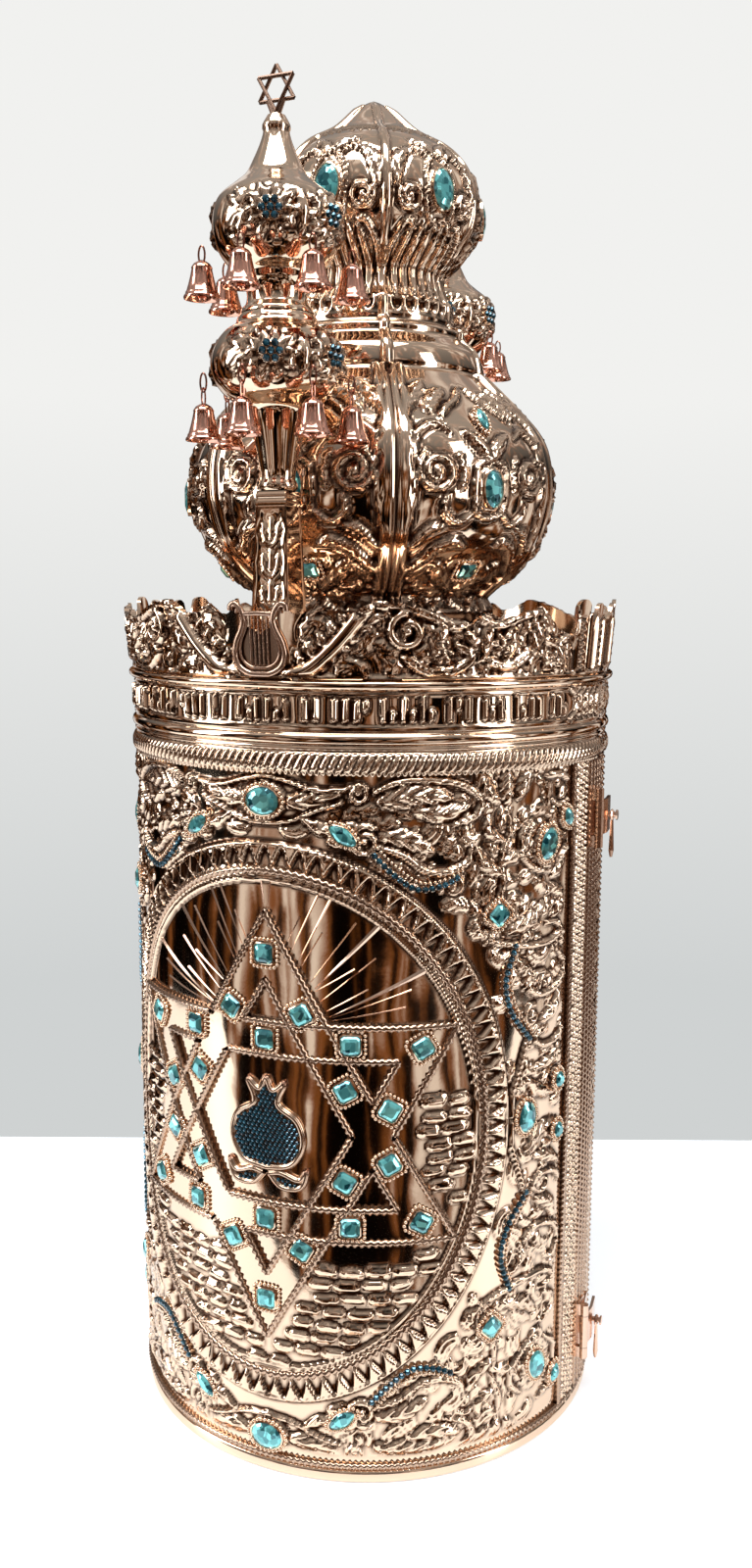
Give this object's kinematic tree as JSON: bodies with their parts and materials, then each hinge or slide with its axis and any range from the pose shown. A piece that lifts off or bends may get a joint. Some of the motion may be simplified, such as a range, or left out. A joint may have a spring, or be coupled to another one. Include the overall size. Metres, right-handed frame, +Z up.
{
  "type": "torah case",
  "caption": "Standing cylindrical Torah case (tik) of embossed metal that opens in two hinged halves, with a coronet, a split onion crown and two lift-off bell finials.",
  "frame": {"origin": "middle of the underside, on the case axis, where the case stands on a table", "axes": "+Z up along the case axis; the front half faces -Y; the hinge is on -X and the clasps are on +X"},
  "size_m": [0.309, 0.341, 0.7713],
  "materials": {
    "rose_gold": "polished rose-gold plate on embossed sheet",
    "hardware": "satin rose-gold plate on cast fittings",
    "bell_metal": "polished copper-coloured plate",
    "teal_stone": "cut glass over silver foil"
  },
  "bodies": {
    "back_half": {"case_shell_back": "rose_gold", "head_band_back": "rose_gold", "crest_back": "rose_gold", "crown_back": "rose_gold", "crown_stone_back_1": "teal_stone", "crown_stone_back_2": "teal_stone", "crown_stone_back_3": "teal_stone", "finial_shaft_back": "rose_gold", "finial_lower_bulb_back": "rose_gold", "finial_upper_bulb_back": "rose_gold", "finial_star_back": "rose_gold", "bell_back_lower_1": "bell_metal", "bell_back_lower_2": "bell_metal", "bell_back_lower_3": "bell_metal", "bell_back_lower_4": "bell_metal", "bell_back_lower_5": "bell_metal", "bell_back_upper_1": "bell_metal", "bell_back_upper_2": "bell_metal", "bell_back_upper_3": "bell_metal", "bell_back_upper_4": "bell_metal", "bell_back_upper_5": "bell_metal", "hinge_leaf_back_1": "hardware", "hinge_leaf_back_2": "hardware", "hinge_pin_1": "hardware", "hinge_pin_2": "hardware", "clasp_keeper_1": "hardware", "clasp_keeper_2": "hardware"},
    "front_half": {"case_shell_front": "rose_gold", "head_band_front": "rose_gold", "crest_front": "rose_gold", "crown_front": "rose_gold", "crown_stone_front_1": "teal_stone", "crown_stone_front_2": "teal_stone", "crown_stone_front_3": "teal_stone", "finial_shaft_front": "rose_gold", "finial_lower_bulb_front": "rose_gold", "finial_upper_bulb_front": "rose_gold", "finial_star_front": "rose_gold", "bell_front_lower_1": "bell_metal", "bell_front_lower_2": "bell_metal", "bell_front_lower_3": "bell_metal", "bell_front_lower_4": "bell_metal", "bell_front_lower_5": "bell_metal", "bell_front_upper_1": "bell_metal", "bell_front_upper_2": "bell_metal", "bell_front_upper_3": "bell_metal", "bell_front_upper_4": "bell_metal", "bell_front_upper_5": "bell_metal", "hinge_leaf_front_1": "hardware", "hinge_leaf_front_2": "hardware", "clasp_plate_1": "hardware", "clasp_plate_2": "hardware"},
    "lower_hasp": {"clasp_hasp_1": "hardware", "clasp_pull_1": "hardware"},
    "upper_hasp": {"clasp_hasp_2": "hardware", "clasp_pull_2": "hardware"}
  },
  "joints": [
    {"name": "case_hinge", "type": "hinge", "parent": "back_half", "child": "front_half", "pos_m": [-0.1505, 0, 0.214], "axis": [0, 0, -1], "range_deg": [0, 165]},
    {"name": "lower_hasp_hinge", "type": "hinge", "parent": "front_half", "child": "lower_hasp", "pos_m": [0.14714, -0.01158, 0.048], "axis": [0, 0, -1], "range_deg": [0, 100]},
    {"name": "upper_hasp_hinge", "type": "hinge", "parent": "front_half", "child": "upper_hasp", "pos_m": [0.14714, -0.01158, 0.363], "axis": [0, 0, -1], "range_deg": [0, 100]}
  ]
}
